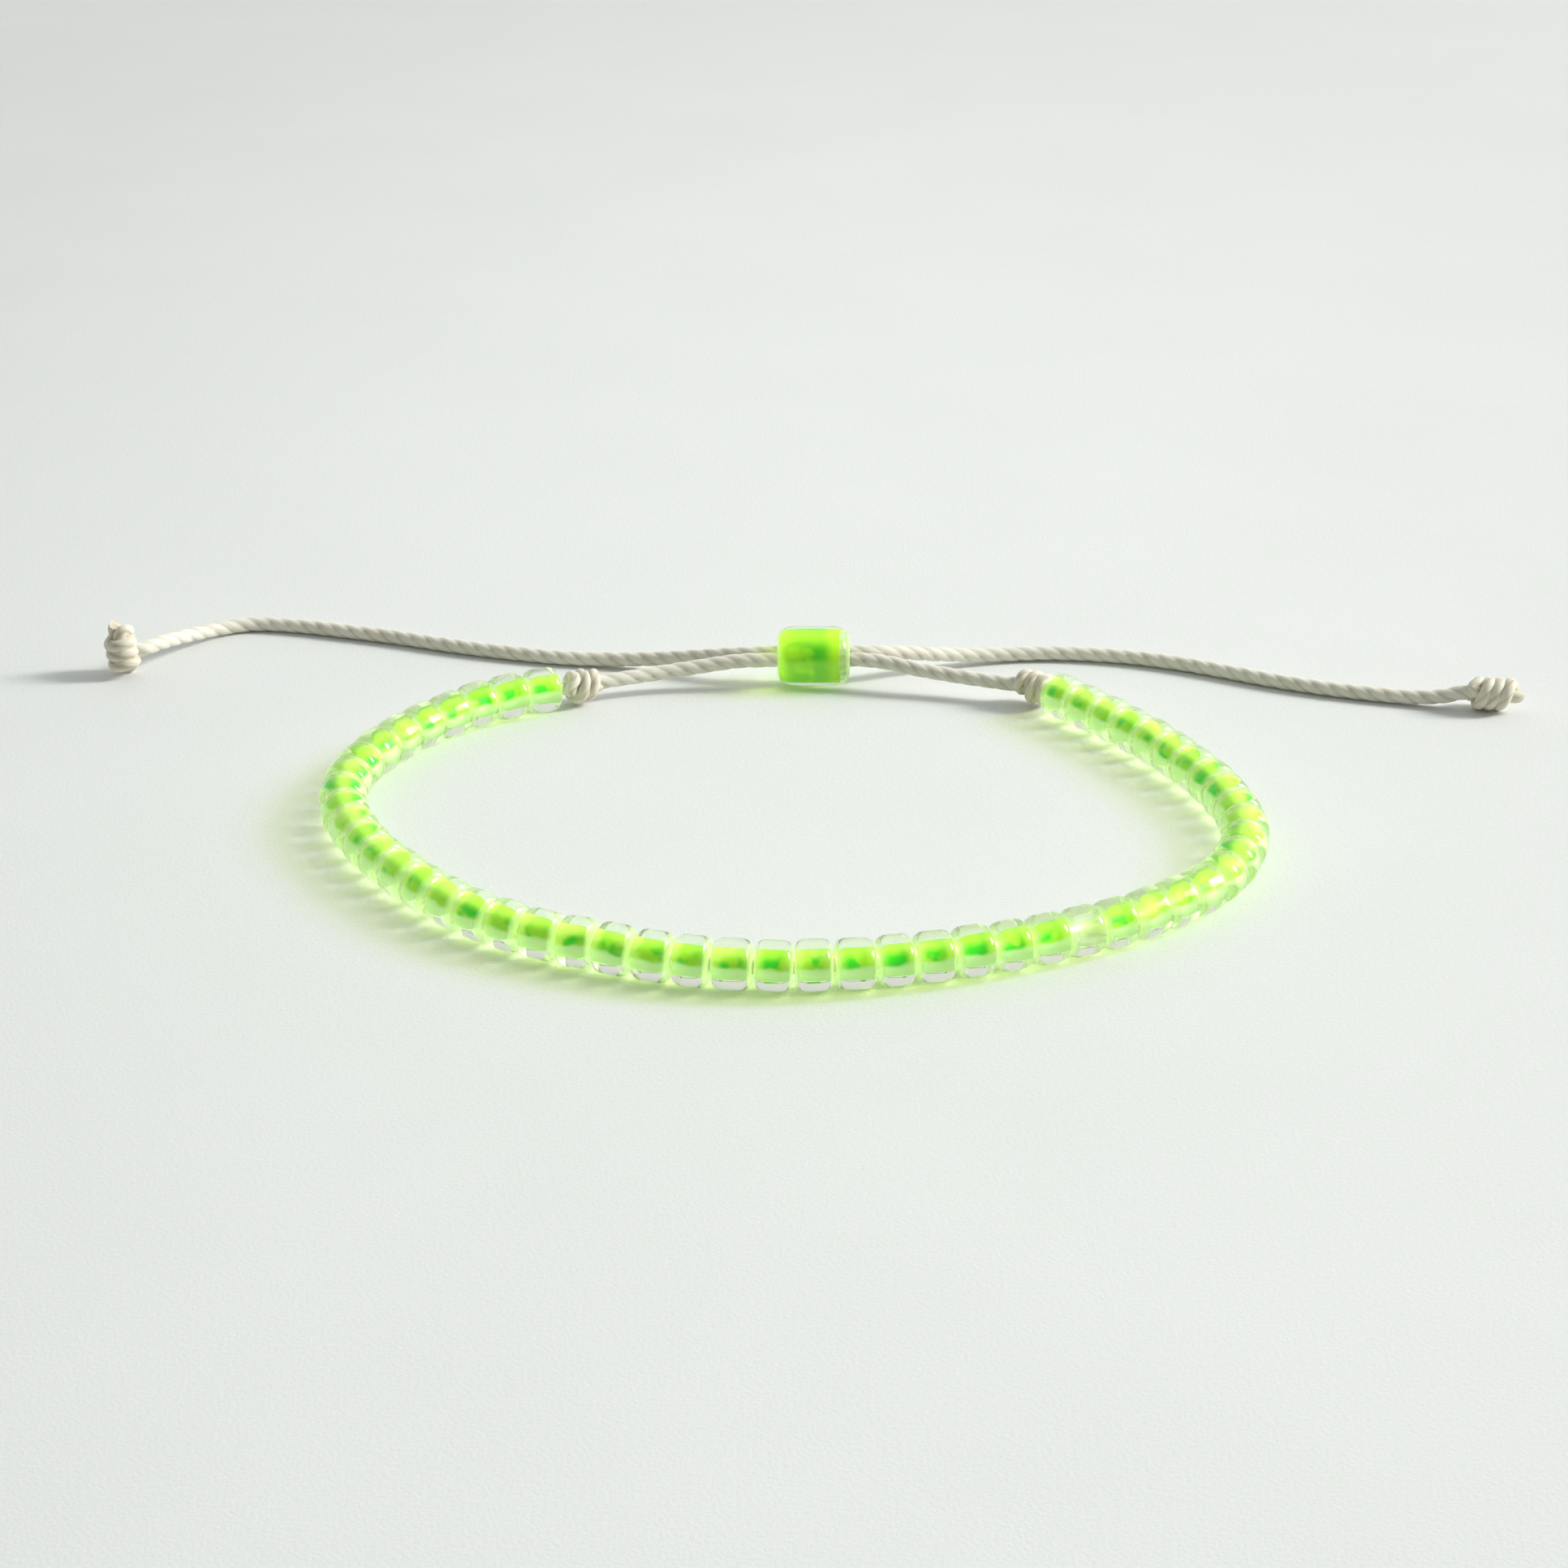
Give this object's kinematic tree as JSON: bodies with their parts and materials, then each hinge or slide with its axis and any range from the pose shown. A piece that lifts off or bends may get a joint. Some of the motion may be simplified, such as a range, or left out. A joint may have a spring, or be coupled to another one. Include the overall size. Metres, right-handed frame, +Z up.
{
  "type": "beaded bracelet",
  "caption": "Adjustable bracelet: an open run of lined glass seed beads on waxed cord, closed by a larger sliding bead, with two free cord tails that end in knots.",
  "frame": {"origin": "on the table, under the middle of the box around the loop, its knots and the sliding bead", "axes": "+X along the loop's longer side, to the right in the picture; +Y away from the picture's camera, from the front beads to the sliding bead; +Z up"},
  "size_m": [0.0956, 0.0539, 0.0041],
  "materials": {
    "bead_glass": "clear glass, hole lined in neon green",
    "slider_glass": "clear glass, hole lined in deeper neon green",
    "waxed_cord": "off-white waxed thread, matt"
  },
  "bodies": {
    "root": {"bead_string_left": "bead_glass", "bead_string_right": "bead_glass", "slider_bead": "slider_glass", "bead_knot_left": "waxed_cord", "bead_knot_right": "waxed_cord", "strand_left": "waxed_cord", "strand_right": "waxed_cord", "tail_left": "waxed_cord", "tail_right": "waxed_cord", "tail_knot_left": "waxed_cord", "tail_knot_right": "waxed_cord"}
  },
  "joints": []
}
